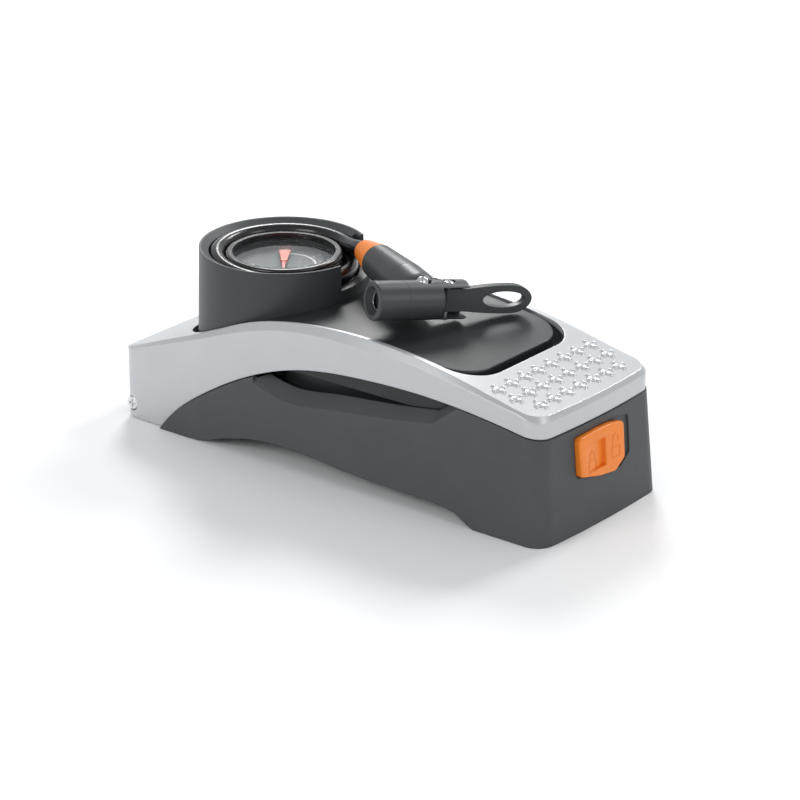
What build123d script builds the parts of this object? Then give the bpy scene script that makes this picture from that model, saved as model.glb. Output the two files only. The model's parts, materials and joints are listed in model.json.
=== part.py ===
from build123d import *
import os
from math import asin, atan2, cos, degrees, radians, sin, tan

# Pedal-operated tyre pump, folded and locked. Millimetres, +Z up, +X towards the tread end.
# The ground is z = 0 and the origin is the bottom centre of the body.

# ---------------------------------------------------------------- driving dimensions
LENGTH = 293.0          # heel of the pedal to the front of the base
WIDTH = 103.0           # across the pedal's side walls
TOWER_TOP = 102.0       # ground to the rim of the gauge tower
FRONT_TAPER = 1.5       # how much each side narrows at the tread end
HUMP_TOP = 85.7         # ground to the highest point of the pedal's back
HEEL_TOP = 38.5         # top of the heel wall
TREAD_END_TOP = 68.5    # top of the pedal at its front edge
PEDAL_WALL = 3.0
PEDAL_SKIN = 3.0
EDGE_BAND = 3.2         # width of the bevel between the side wall and the top
SEAM_GAP = 0.6          # gap between the pedal's lower edge and the base
HEEL_CLEAR = 0.4        # heel of the pedal above the ground
CORNER_REAR = 12.0
CORNER_FRONT = 11.0
NOSE_BULGE = 2.0        # sagitta of the curved front
FRONT_LEAN = 6.7        # how far the front wall leans out at the ground
NOSE_ROOM = 1.0         # ground edge of the front behind the lock slide's face
SIDE_LEAN = 2.6         # how far the side walls lean out at the ground
BASE_WALL = 3.0
BASE_FLOOR = 4.2

HINGE_SETBACK = 7.8     # hinge axis ahead of the heel
PAD_H = 1.6             # rubber feet and cover sit this deep in the floor
HINGE_PIN_R = 2.5
RUN_CLEAR = 0.05        # radial clearance of a running fit
GAP = 0.4               # clearance between pieces that only pass each other
OPEN_ANGLE = 34.0       # pedal travel, degrees

TOWER_SETBACK = 76.0    # tower axis ahead of the heel
TOWER_R = 46.0          # outer radius at the rim
TOWER_DRAFT = 1.4       # degrees
GROOVE_R = 36.4         # radius of the hose's centre line in its groove
HOSE_D = 8.0
HOSE_TURNS = 3          # turns stacked in the groove
TURN_PITCH = 8.3
TOP_TURN_DROP = 4.6     # rim down to the centre of the top turn
GAUGE_R = 31.8          # outer radius of the gauge bezel
GLASS_R = 28.8
CUP_INSET = 1.2         # gauge well inside the bezel's outer radius
GAUGE_DROP = 3.2        # rim down to the top of the bezel
DIAL_DEPTH = 8.0        # bezel top down to the dial
OPENING_R = 48.3        # pedal opening round the tower
OPENING_FRONT_HALF = 44.5
OPENING_BACKSET = 3.0   # centre of the opening's round end behind the tower
OPENING_END = 51.0      # front edge of the opening behind the front
OPENING_CORNER = 21.0
DECK_SIDE_GAP = 0.8
DECK_FRONT_GAP = 7.0
DECK_DROP = 1.0
DECK_SKIN = 2.4

CRANK_X, CRANK_Z = 9.3, 27.5    # crank pin ahead of and above the hinge
CRANK_PIN_R = 3.0
LINK_LENGTH = 68.0
ROD_Z = 46.0            # axis of the piston rod and the cylinder
ROD_R = 5.0
CYL_BORE = 25.0         # inner radius
CYL_WALL = 2.5
CYL_LENGTH = 56.0
OPEN_PIVOT_CLEAR = 1.9  # the link's front eye round the wrist pin

SLIDE_TRAVEL = 7.8
SLIDE_Z = 38.0
SLIDE_PROUD = 3.0

CHUCK_R = 10.5
CHUCK_LENGTH = 54.0
CHUCK_Z = 98.8          # where the neck's line meets the barrel's
CHUCK_ANGLE = 64.0      # barrel direction in plan, square to the neck
CHUCK_ROLL = 8.0        # the barrel's mouth is tipped up by this angle
NECK_R = 9.7            # at the collar
BRANCH_R = 11.8         # at the body
NECK_REACH = 101.0      # along the hose's tangent to the barrel's axis
NECK_SLOPE = 2.0        # the neck runs down towards the barrel, degrees
MOUTH_SHARE = 31.0      # barrel's mouth to where the neck joins
HOSE_EXIT_ANGLE = 64.0  # where the hose leaves its groove, degrees

# ---------------------------------------------------------------- derived places
X_REAR, X_FRONT = -LENGTH / 2, LENGTH / 2
HALF_W = WIDTH / 2
HINGE_X = X_REAR + HINGE_SETBACK
HEEL_R = HINGE_SETBACK
HINGE_Z = HEEL_R + HEEL_CLEAR - 0.2
TOWER_X = X_REAR + TOWER_SETBACK
PEDAL_FRONT = X_FRONT - NOSE_ROOM - FRONT_LEAN
OPENING_FRONT = X_FRONT - OPENING_END
OPENING_REAR_X = TOWER_X - OPENING_BACKSET
DECK_FRONT = OPENING_FRONT - DECK_FRONT_GAP
TOP_TURN_Z = TOWER_TOP - TOP_TURN_DROP
GROOVE_IN_R = GROOVE_R - HOSE_D / 2 - GAP
GROOVE_OUT_R = GROOVE_R + HOSE_D / 2 + GAP
GROOVE_FLOOR = TOP_TURN_Z - TURN_PITCH * (HOSE_TURNS - 1) - HOSE_D / 2 - GAP
BEZEL_TOP = TOWER_TOP - GAUGE_DROP
DIAL_TOP = BEZEL_TOP - DIAL_DEPTH
CRANK = (HINGE_X + CRANK_X, HINGE_Z + CRANK_Z)
WRIST_X = CRANK[0] + (LINK_LENGTH ** 2 - (ROD_Z - CRANK[1]) ** 2) ** 0.5


def at(x, y, z, *turn):
    """A location, with an optional rotation about X, Y and Z."""
    return Pos(x, y, z) * Rot(*turn) if turn else Pos(x, y, z)


def along_x(radius, length, x, y, z):
    """A round bar from x to x + length."""
    return at(x + length / 2, y, z, 0, 90, 0) * Cylinder(radius, length)


def along_y(radius, length, x, y, z):
    """A round bar centred on y."""
    return at(x, y, z, 90, 0, 0) * Cylinder(radius, length)


def upright(radius, z0, z1, x=0.0, y=0.0):
    """A vertical round bar between two heights."""
    return at(x, y, (z0 + z1) / 2) * Cylinder(radius, z1 - z0)


def cone(r0, r1, z0, z1, x=0.0, y=0.0):
    """A vertical cone between two heights."""
    return at(x, y, (z0 + z1) / 2) * Cone(r0, r1, z1 - z0)


def block(x0, x1, y0, y1, z0, z1):
    """A box between two corners."""
    return at((x0 + x1) / 2, (y0 + y1) / 2, (z0 + z1) / 2) * Box(x1 - x0, y1 - y0, z1 - z0)


def station(share):
    """An x position as a share of the length, from the heel."""
    return X_REAR + share * LENGTH


# ---------------------------------------------------------------- profiles in the XZ plane
# Both curves of the arched side view: share of the length, then height.
BACK_CURVE = [(0.0, HEEL_TOP), (0.11, 50.8), (0.20, 61.2), (0.32, 75.8), (0.44, 83.4),
              (0.57, HUMP_TOP), (0.67, 84.3), (0.76, 80.8), (0.88, 73.9)]
SEAM_CURVE = [(0.105, HEEL_CLEAR), (0.132, 10.0), (0.20, 25.6), (0.30, 42.8), (0.44, 58.2),
              (0.60, 64.2), (0.72, 65.0), (0.86, 62.2)]
SEAM_END_Z = 57.0       # lower edge of the pedal at the front wall
BAND_DROP = [0.8, 1.6, 2.6, 4.2, 4.0, 4.6, 4.6, 4.2, 2.6, 2.0]   # bevel height at each point


def back_points(y, drop=0.0, band=False):
    """The points of the pedal's back in the plane y, lowered by drop."""
    stations = [(station(u), z) for u, z in BACK_CURVE] + [(PEDAL_FRONT + NOSE_BULGE, TREAD_END_TOP)]
    lower = BAND_DROP if band else [0.0] * len(stations)
    return [(x, y, z - drop - d) for (x, z), d in zip(stations, lower)]


def back_edge(y, drop=0.0, band=False):
    return Spline(*back_points(y, drop, band))


def back_height(x):
    """Height of the pedal's back at x."""
    curve, low, high = back_edge(0.0), 0.0, 1.0
    for _ in range(30):
        middle = (low + high) / 2
        if (curve @ middle).X < x:
            low = middle
        else:
            high = middle
    return (curve @ low).Z


def seam_edge(y, lower=0.0):
    ends = [(station(u), y, z - lower) for u, z in SEAM_CURVE]
    return Spline(*ends, (PEDAL_FRONT + NOSE_BULGE, y, SEAM_END_Z - lower))


def ring_face(edges):
    return Face(Wire(edges))


def pedal_profile(y, band=False):
    """Side view of the pedal in the plane y: back, nose, seam and round heel."""
    back, seam = back_edge(y, 0.0, band), seam_edge(y)
    nose = Line(back @ 1, seam @ 1)
    heel_low = (HINGE_X, y, HINGE_Z - HEEL_R)
    heel_back = (X_REAR, y, HINGE_Z)
    turn = HEEL_R * sin(radians(45))
    sole = Line(seam @ 0, heel_low)
    heel = ThreePointArc(heel_low, (HINGE_X - turn, y, HINGE_Z - turn), heel_back)
    rear = Line(heel_back, back @ 0)
    return ring_face([back, nose, seam, sole, heel, rear])


def band_below(curve, depth):
    """The strip of the XZ plane between the pedal's back, lowered, and a level line."""
    start, end = curve @ 0, curve @ 1
    edges = [curve, Line(end, (end.X, 0, depth)), Line((end.X, 0, depth), (start.X, 0, depth)),
             Line((start.X, 0, depth), start)]
    return ring_face(edges)


def slab(face, half):
    """A face of the XZ plane, thickened to both sides."""
    return extrude(face, amount=half, dir=(0, 1, 0), both=True)


# ---------------------------------------------------------------- outlines in plan
def body_outline(grow_side=0.0, grow_front=0.0, rear=None, corner=CORNER_FRONT, rear_corner=0.0):
    """Plan of the body: straight sides that taper to a gently curved nose."""
    x0 = X_REAR if rear is None else rear
    x1 = PEDAL_FRONT + grow_front
    side, front = HALF_W + grow_side, HALF_W - FRONT_TAPER + grow_side
    mid = station(0.55)
    nose = ThreePointArc((x1, -front, 0), (x1 + NOSE_BULGE, 0, 0), (x1, front, 0))
    edges = [Line((x0, -side, 0), (mid, -side, 0)), Line((mid, -side, 0), (x1, -front, 0)), nose,
             Line((x1, front, 0), (mid, side, 0)), Line((mid, side, 0), (x0, side, 0)),
             Line((x0, side, 0), (x0, -side, 0))]
    plan = ring_face(edges)
    plan = fillet(plan.vertices().filter_by(lambda v: abs(v.X - x1) < 0.01), corner)
    if rear_corner:
        plan = fillet(plan.vertices().filter_by(lambda v: abs(v.X - x0) < 0.01), rear_corner)
    return plan


def opening_outline(inset=0.0, front_gap=0.0, extra=0.0):
    """Plan of the opening in the pedal: round the tower, tapering to soft front corners."""
    radius = OPENING_R - inset
    x_front = OPENING_FRONT - front_gap
    half = OPENING_FRONT_HALF - inset
    lean = asin((radius - half) / (x_front - OPENING_REAR_X))
    touch = (OPENING_REAR_X + radius * sin(lean), radius * cos(lean))
    edges = [Line((touch[0], -touch[1], 0), (x_front, -half, 0)),
             Line((x_front, -half, 0), (x_front, half, 0)),
             Line((x_front, half, 0), (touch[0], touch[1], 0)),
             ThreePointArc((touch[0], touch[1], 0), (OPENING_REAR_X - radius, 0, 0),
                           (touch[0], -touch[1], 0))]
    plan = ring_face(edges)
    corners = plan.vertices().filter_by(lambda v: abs(v.X - x_front) < 0.01)
    return fillet(corners, OPENING_CORNER - inset)


def prism(plan, z0, z1):
    return extrude(Pos(0, 0, z0) * plan, amount=z1 - z0, dir=(0, 0, 1))


# ---------------------------------------------------------------- the pedal
TREAD_ROWS = [(-11.2, 8), (0.0, 8), (11.2, 7)]   # along the slope, studs in the row
STUD_PITCH = 11.3
STUD_R = 3.0
STUD_H = 0.8
NOSE_BEVEL = 1.8
TREAD_CENTRE = 29.5     # middle row behind the front


def tread_slope():
    """Angle of the tread's plane, degrees below level."""
    x = X_FRONT - TREAD_CENTRE
    return degrees(atan2(back_height(x - 11) - back_height(x + 11), 22))


def tread_studs():
    """Raised round studs in three rows on the tread."""
    studs = []
    for along, count in TREAD_ROWS:
        x = X_FRONT - TREAD_CENTRE + along
        for n in range(count):
            y = (n - (count - 1) / 2) * STUD_PITCH
            place = at(x, y, back_height(x), 0, tread_slope(), 0)
            studs.append(place * Pos(0, 0, STUD_H / 2 - 0.3) * Cone(STUD_R, STUD_R - 1.0, STUD_H + 0.6))
    return studs


def pedal_shell():
    """One moulded shell: side walls, heel, bevelled edges and the tread, round the opening."""
    inner_y = HALF_W - EDGE_BAND
    core = slab(pedal_profile(0.0), inner_y)
    sides = [loft([pedal_profile(s * inner_y), pedal_profile(s * HALF_W, True)], ruled=True)
             for s in (-1, 1)]
    solid = (core + sides[0] + sides[1]) & prism(body_outline(rear_corner=CORNER_REAR), -5, TOWER_TOP)
    inside = prism(body_outline(-PEDAL_WALL, -PEDAL_WALL, X_REAR + PEDAL_WALL,
                                CORNER_FRONT - PEDAL_WALL, CORNER_REAR - PEDAL_WALL), -5, TOWER_TOP)
    inside = inside & slab(band_below(back_edge(0.0, PEDAL_SKIN), -5), HALF_W)
    beneath_band = slab(band_below(back_edge(0.0, PEDAL_SKIN), -5), HALF_W - EDGE_BAND)
    edge_rooms = slab(band_below(back_edge(0.0, PEDAL_SKIN + max(BAND_DROP)), -5), HALF_W)
    cavity = inside & (beneath_band + edge_rooms)
    inner_half = HALF_W - PEDAL_WALL
    heel_slot = block(X_REAR - 1, HINGE_X, -inner_half, inner_half, -5, HINGE_Z + 1.0)
    solid = solid & nose_bevel()
    return solid - cavity - heel_slot - prism(opening_outline(), 20, TOWER_TOP)


def nose_bevel():
    """All the space that stays inside the bevel round the tread's front edge and corners."""
    reach = 12.0
    wide = body_outline(reach - NOSE_BEVEL, reach - NOSE_BEVEL, 0.0, CORNER_FRONT + reach - NOSE_BEVEL)
    narrow = body_outline(-reach - NOSE_BEVEL, -reach - NOSE_BEVEL, 0.0, CORNER_FRONT - reach - NOSE_BEVEL + 4)
    hood = loft([Pos(0, 0, -reach) * wide, Pos(0, 0, reach) * narrow], ruled=True)
    edge = (PEDAL_FRONT + NOSE_BULGE, 0, TREAD_END_TOP)
    hood = at(*edge, 0, tread_slope(), 0) * Pos(-edge[0], 0, 0) * hood
    split = station(0.88)
    below = block(split, X_FRONT + 20, -HALF_W - 20, HALF_W + 20, -10, TREAD_END_TOP - 6)
    hood = hood & block(split, X_FRONT + 20, -HALF_W - 20, HALF_W + 20, TREAD_END_TOP - 6, TOWER_TOP)
    return hood + below + block(X_REAR - 20, split, -HALF_W - 20, HALF_W + 20, -10, TOWER_TOP)


def pedal_frame():
    shell = pedal_shell()
    for stud in tread_studs():
        shell = shell + stud
    for s in (-1, 1):
        boss_y = s * (HALF_W - PEDAL_WALL - HINGE_BOSS / 2)
        shell = shell + along_y(HINGE_PIN_R + 2.0, HINGE_BOSS + 0.2, HINGE_X, boss_y, HINGE_Z)
        recess_y = s * (HALF_W - HEAD_RECESS + 2.0)
        shell = shell - along_y(SCREW_HEAD_R + 0.5, 4.0, HINGE_X, recess_y, HINGE_Z)
    shell = shell - along_y(HINGE_PIN_R + RUN_CLEAR, WIDTH + 10, HINGE_X, 0, HINGE_Z)
    return shell


SCREW_HEAD_R = 3.8
HEAD_RECESS = 2.7       # depth of the hinge screws' recesses
HINGE_BOSS = 3.2        # length of the bosses inside the pedal's walls


def hinge_pin():
    return along_y(HINGE_PIN_R, WIDTH - 2 * HEAD_RECESS + 0.16, HINGE_X, 0, HINGE_Z)


def cross_slots(radius, depth):
    """The cutter for a cross recess, centred on the origin, cutting down."""
    return Box(radius * 1.2, radius * 0.3, depth) + Box(radius * 0.3, radius * 1.2, depth)


def screw_head(radius, height):
    """A domed head with a cross recess, sitting on z = 0."""
    head = Pos(0, 0, height / 2) * Cylinder(radius, height)
    head = fillet(head.edges().group_by(Axis.Z)[-1], height * 0.45)
    return head - Pos(0, 0, height) * cross_slots(radius, height)


def hinge_screws():
    """One screw head on each end of the hinge pin, in the pedal's recesses."""
    heads = []
    for s in (-1, 1):
        place = at(HINGE_X, s * (HALF_W - HEAD_RECESS + 0.1), HINGE_Z, -s * 90, 0, 0)
        heads.append(place * screw_head(SCREW_HEAD_R, 1.8))
    return heads


def crank_bracket():
    """Steel bracket under the heel that carries the crank pin between two ears."""
    skin = slab(band_below(back_edge(0.0, PEDAL_SKIN + 0.02), 0), 12.5)
    plate = skin - slab(band_below(back_edge(0.0, PEDAL_SKIN + 2.5), 0), 20)
    plate = plate & block(X_REAR + PEDAL_WALL + 1, OPENING_REAR_X - OPENING_R - 0.5, -20, 20, 0, 90)
    room = LINK_HALF + 1.2
    plate = plate - block(CRANK[0] - CRANK_PIN_R - 4.5, CRANK[0] + 30, -room, room, 0, 90)
    ears = []
    for s in (-1, 1):
        ear = along_y(CRANK_PIN_R + 2.6, 3, CRANK[0], s * 11, CRANK[1])
        web = block(CRANK[0] - 5.6, CRANK[0] + 5.6, s * 11 - 1.5, s * 11 + 1.5, CRANK[1], 90)
        ears.append(ear + (web & skin))
    bracket = plate + ears[0] + ears[1]
    return bracket - along_y(CRANK_PIN_R, 40, CRANK[0], 0, CRANK[1])


def crank_pin():
    pin = along_y(CRANK_PIN_R, 29, CRANK[0], 0, CRANK[1])
    return pin - along_y(CRANK_PIN_R + 1, 0.8, CRANK[0], 13.4, CRANK[1]) + along_y(
        CRANK_PIN_R - 0.7, 0.8, CRANK[0], 13.4, CRANK[1])


def crank_clip():
    """Retaining clip in the crank pin's groove."""
    clip = along_y(CRANK_PIN_R + 1.3, 0.7, CRANK[0], 13.4, CRANK[1])
    clip = clip - along_y(CRANK_PIN_R - 0.65, 2, CRANK[0], 13.4, CRANK[1])
    return clip - block(CRANK[0] - 1.2, CRANK[0] + 1.2, 12, 15, CRANK[1] - 8, CRANK[1])


# ---------------------------------------------------------------- link, rod and piston
LINK_HALF = 4.0
LINK_ANGLE = degrees(atan2(ROD_Z - CRANK[1], WRIST_X - CRANK[0]))
WRIST_PIN_R = 3.0
REAR_CAP_X = WRIST_X + 34.0     # rear face of the cylinder's rear cap
CYL_X = REAR_CAP_X + 5.0


def connecting_link():
    """Flat link from the crank pin to the wrist pin; its front eye is oversize."""
    front_eye_r = WRIST_PIN_R + OPEN_PIVOT_CLEAR
    link = along_y(CRANK_PIN_R + 3.0, 2 * LINK_HALF, 0, 0, 0)
    link = link + along_y(front_eye_r + 2.6, 2 * LINK_HALF, LINK_LENGTH, 0, 0)
    link = link + block(0, LINK_LENGTH, -LINK_HALF, LINK_HALF, -3.6, 3.6)
    link = link - block(12, LINK_LENGTH - 14, LINK_HALF - 2.2, 20, -2.2, 2.2)
    link = link - block(12, LINK_LENGTH - 14, -20, 2.2 - LINK_HALF, -2.2, 2.2)
    link = link - along_y(CRANK_PIN_R + RUN_CLEAR, 20, 0, 0, 0)
    link = link - along_y(front_eye_r, 20, LINK_LENGTH, 0, 0)
    return at(CRANK[0], 0, CRANK[1], 0, -LINK_ANGLE, 0) * link


def piston_rod():
    """Rod with a forked rear end round the wrist pin."""
    fork_r = WRIST_PIN_R + 3.5
    fork = along_y(fork_r, 20, WRIST_X, 0, ROD_Z)
    fork = fork + block(WRIST_X, WRIST_X + 14, -10, 10, ROD_Z - fork_r, ROD_Z + fork_r)
    room = WRIST_PIN_R + OPEN_PIVOT_CLEAR + 2.6 + 1.9
    slot = block(WRIST_X - 20, WRIST_X + room, -LINK_HALF - 0.5, LINK_HALF + 0.5, ROD_Z - 20, ROD_Z + 20)
    rod = along_x(ROD_R, PISTON_X + 8 - WRIST_X - 12, WRIST_X + 12, 0, ROD_Z)
    return fork - slot - along_y(WRIST_PIN_R, 40, WRIST_X, 0, ROD_Z) + rod


def wrist_pin():
    return along_y(WRIST_PIN_R, 20, WRIST_X, 0, ROD_Z)


PISTON_X = CYL_X + CYL_LENGTH - 26.0
PISTON_T = 14.0
RING_GROOVE = 2.6


def piston():
    """Piston head on the rod's end, with a groove for its sealing ring."""
    head = along_x(CYL_BORE - GAP, PISTON_T, PISTON_X, 0, ROD_Z)
    groove = along_x(CYL_BORE + 1, 3.4, PISTON_X + 5, 0, ROD_Z)
    groove = groove - along_x(CYL_BORE - RING_GROOVE, 3.4, PISTON_X + 5, 0, ROD_Z)
    return head - groove - along_x(ROD_R, 8, PISTON_X, 0, ROD_Z)


def piston_ring():
    ring = along_x(CYL_BORE - RUN_CLEAR, 3.2, PISTON_X + 5.1, 0, ROD_Z)
    return ring - along_x(CYL_BORE - RING_GROOVE + 0.05, 5, PISTON_X + 4, 0, ROD_Z)


# ---------------------------------------------------------------- cylinder group
def pump_cylinder():
    tube = along_x(CYL_BORE + CYL_WALL, CYL_LENGTH, CYL_X, 0, ROD_Z)
    return tube - along_x(CYL_BORE, CYL_LENGTH + 2, CYL_X - 1, 0, ROD_Z)


def cylinder_rear_cap():
    """Rear cap with the guide hole for the rod and two breathing holes."""
    cap = along_x(CYL_BORE + CYL_WALL, CYL_X - REAR_CAP_X, REAR_CAP_X, 0, ROD_Z)
    cap = cap + along_x(CYL_BORE - 0.02, 4, CYL_X, 0, ROD_Z)
    cap = cap - along_x(ROD_R + 1.6, 20, REAR_CAP_X - 5, 0, ROD_Z)
    for y in (-14, 14):
        cap = cap - along_x(2.5, 20, REAR_CAP_X - 5, y, ROD_Z)
    return cap


def rod_bush():
    """Bush in the rear cap that guides the rod."""
    bush = along_x(ROD_R + 1.6, CYL_X + 4 - REAR_CAP_X, REAR_CAP_X, 0, ROD_Z)
    flange = along_x(ROD_R + 3.2, 1.5, REAR_CAP_X - 1.5, 0, ROD_Z)
    return bush + flange - along_x(ROD_R + RUN_CLEAR, 30, REAR_CAP_X - 10, 0, ROD_Z)


HEAD_X = CYL_X + CYL_LENGTH
HEAD_T = 9.0
SPIGOT_L = 10.0


def cylinder_head():
    """Front head with the outlet spigot and the check valve's seat."""
    head = along_x(CYL_BORE + CYL_WALL, HEAD_T, HEAD_X, 0, ROD_Z)
    head = head + along_x(CYL_BORE - 0.02, 4, HEAD_X - 4, 0, ROD_Z)
    head = head + along_x(6.0, SPIGOT_L, HEAD_X + HEAD_T, 0, ROD_Z)
    head = head - along_x(4.0, SPIGOT_L + 2, HEAD_X + HEAD_T, 0, ROD_Z)
    return head - along_x(2.0, HEAD_T + 10, HEAD_X - 5, 0, ROD_Z)


VALVE_LIFT = 1.2


def valve_disc():
    """Outlet check valve: a disc with a short guide stem."""
    disc = along_x(3.4, 1.4, HEAD_X + HEAD_T + 0.02, 0, ROD_Z)
    return disc + along_x(1.0, 2.4, HEAD_X + HEAD_T + 1.4, 0, ROD_Z)


def coil_spring(coil_r, wire_r, pitch, turns):
    """A helical spring standing on z = 0."""
    path = Helix(pitch=pitch, height=pitch * turns, radius=coil_r)
    section = Plane(origin=path @ 0, z_dir=path % 0) * Circle(wire_r)
    return sweep(section, path=path, is_frenet=True)


def valve_spring():
    spring = coil_spring(2.4, 0.3, 0.78, 4)
    return at(HEAD_X + HEAD_T + 3.5, 0, ROD_Z, 0, 90, 0) * spring


def outlet_nut():
    """Threaded cap on the spigot, with the elbow that the air pipe plugs into."""
    x0 = HEAD_X + HEAD_T + 3.5
    nut = along_x(8.5, 9.5, x0, 0, ROD_Z) & block(x0 - 1, x0 + 12, -8.5, 8.5, ROD_Z - 7.5, ROD_Z + 7.5)
    stub = along_y(3.4, 12, x0 + 7.2, 13, ROD_Z)
    nut = nut + stub - along_x(6.02, SPIGOT_L - 3.5, x0, 0, ROD_Z)
    return nut - along_y(1.6, 20, x0 + 7.2, 12, ROD_Z)


PIPE_R = 2.4
PIPE_Y = CYL_BORE + CYL_WALL + 4.5


def air_pipe():
    """Rigid pipe from the outlet elbow back beside the cylinder and up to the gauge."""
    start_x = HEAD_X + HEAD_T + 3.5 + 7.2
    x, cross_z = TOWER_X + 4, ROD_Z + 18
    route = [(start_x, 19.1, ROD_Z), (start_x, PIPE_Y, ROD_Z), (x, PIPE_Y, ROD_Z), (x, PIPE_Y, cross_z),
             (x, 9.0, cross_z), (x, 9.0, GAUGE_BASE + 1.9)]
    line = FilletPolyline(*route, radius=[8.0, 8.0, 8.0, 6.0])
    return sweep(Plane(origin=line @ 0, z_dir=line % 0) * Circle(PIPE_R), path=line)


def cylinder_saddles():
    """Two saddles moulded to hold the cylinder on the base's floor."""
    saddles = []
    for x in (CYL_X + 8, HEAD_X - 8):
        saddle = block(x - 4, x + 4, -24, 24, 0, ROD_Z - 8) & slab(tray_room(), HALF_W)
        saddles.append(saddle - along_x(CYL_BORE + CYL_WALL, 30, x - 15, 0, ROD_Z))
    return saddles


def cylinder_straps():
    """Steel straps over the cylinder, one at each saddle."""
    straps = []
    for x in (CYL_X + 8, HEAD_X - 8):
        outer = along_x(CYL_BORE + CYL_WALL + 1.2, 8, x - 4, 0, ROD_Z)
        outer = outer - block(x - 6, x + 6, -60, 60, 0, ROD_Z - 7.9)
        straps.append(outer - along_x(CYL_BORE + CYL_WALL + 0.02, 20, x - 10, 0, ROD_Z))
    return straps


# ---------------------------------------------------------------- the base
ARCH = [(0.168, 0.0), (0.27, 6.6), (0.375, 12.2), (0.55, 9.9), (0.768, 8.0)]
ARCH_STEP = [(0.80, 6.2), (0.842, 0.0)]
FOOT_X = station(ARCH[0][0])
TONGUE_H = 2.6


def arch_edges(y, lift=0.0):
    """The lower edge of the base between its rear and front feet."""
    sweep_up = Spline(*[(station(u), y, z + lift) for u, z in ARCH], tangents=[(1, 0, 0), (1, 0, -0.03)])
    step = [(station(u), y, z + lift) for u, z in ARCH_STEP]
    return [sweep_up, Line(sweep_up @ 1, step[0]), Line(step[0], step[1])]


def base_profile(lower):
    """Side view of the base: under the seam, above the arch."""
    seam = seam_edge(0.0, lower)
    edges = arch_edges(0.0)
    start, end = seam @ 0, seam @ 1
    toe = end.X + 20
    outline = [seam, Line(end, (toe, 0, end.Z)), Line((toe, 0, end.Z), (toe, 0, 0)),
               Line((toe, 0, 0), edges[2] @ 1)] + edges
    sole = Line(edges[0] @ 0, (start.X, 0, -1.0))
    return ring_face(outline + [sole, Line(sole @ 1, start)])


def tray_room():
    """Side view of the space above the base's floor."""
    edges = arch_edges(0.0, BASE_FLOOR)
    tail, toe, roof = X_REAR, X_FRONT + 20, TOWER_TOP
    outline = [Line((tail, 0, BASE_FLOOR), edges[0] @ 0)] + edges
    corners = [edges[2] @ 1, (toe, 0, BASE_FLOOR), (toe, 0, roof), (tail, 0, roof), (tail, 0, BASE_FLOOR)]
    outline += [Line(a, b) for a, b in zip(corners, corners[1:])]
    return ring_face(outline)


def base_body(inset):
    """The base's leaning walls as one closed block, set in by a wall."""
    low = body_outline(SIDE_LEAN - inset, FRONT_LEAN - NOSE_BULGE - inset, station(0.02), CORNER_FRONT - inset)
    high = body_outline(-inset, -inset, station(0.02), CORNER_FRONT - inset)
    return loft([low, Pos(0, 0, 64.0) * high], ruled=True)


GRIP_OUTLINE = [(0.335, 41.5), (0.385, 37.8), (0.417, 36.6), (0.50, 39.2), (0.60, 42.6),
                (0.70, 46.3), (0.748, 48.6)]
GRIP_END = (0.805, 61.0)
GRIP_DEPTH = 9.5
GRIP_RISE = 8.5


def grip_face(y, rise):
    """Outline of the finger recess in the plane y."""
    points = [(station(u), y, z + rise) for u, z in GRIP_OUTLINE]
    lower = Spline(*points)
    end = (station(GRIP_END[0]), y, GRIP_END[1] + rise)
    top_end, top_start = (end[0], y, 90.0), (points[0][0], y, 90.0)
    return ring_face([lower, Line(lower @ 1, end), Line(end, top_end), Line(top_end, top_start),
                      Line(top_start, lower @ 0)])


def grip_cut(s, inset=0.0):
    """The scoop of one finger recess, deeper towards the top."""
    outer = HALF_W + SIDE_LEAN + 0.6
    faces = [grip_face(s * outer, -inset - 0.5), grip_face(s * (outer - GRIP_DEPTH), GRIP_RISE - inset)]
    return loft(faces, ruled=True)


def base_shell():
    """Tray with leaning walls, finger recesses, hinge ears and the lock's recess."""
    body = base_body(0.0)
    shell = body & slab(base_profile(SEAM_GAP), HALF_W + 10)
    shell = shell - (base_body(BASE_WALL) & slab(tray_room(), HALF_W + 10))
    for s in (-1, 1):
        backing = grip_cut(s, BASE_WALL) & body & slab(base_profile(SEAM_GAP + 1.5), HALF_W + 10)
        backing = backing - deck_plan_prism(-0.4, SKIRT_Z - 0.4, TOWER_TOP)
        shell = shell + backing - grip_cut(s)
    shell = shell + base_tongue()
    shell = shell - lock_recess() - lock_slot()
    for post in front_posts():
        shell = shell + post
    for pad in foot_pads():
        shell = shell - pad_pocket(pad)
    for x, y in cover_screw_places():
        shell = shell - upright(1.62, 0, BASE_FLOOR - 0.58, x, y)
    return shell - cover_pocket()


def pad_pocket(pad):
    """The pocket for one rubber foot: the foot itself, slightly taller."""
    return pad + Pos(0, 0, 0.02) * pad + Pos(0, 0, -0.5) * pad


def cover_outline():
    x0, x1 = station(0.842) + 3, X_FRONT - 17
    return x0, x1, 30.0


def cover_pocket():
    """Recess for the cover plate and the access hole above it."""
    x0, x1, half = cover_outline()
    recess = block(x0 - 0.2, x1 + 0.2, -half - 0.2, half + 0.2, -1, PAD_H + 0.02)
    recess = fillet(recess.edges().filter_by(Axis.Z), 6)
    return recess + block(x0 + 7, x1 - 7, 7 - half, half - 7, 0, BASE_FLOOR + 1)


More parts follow.
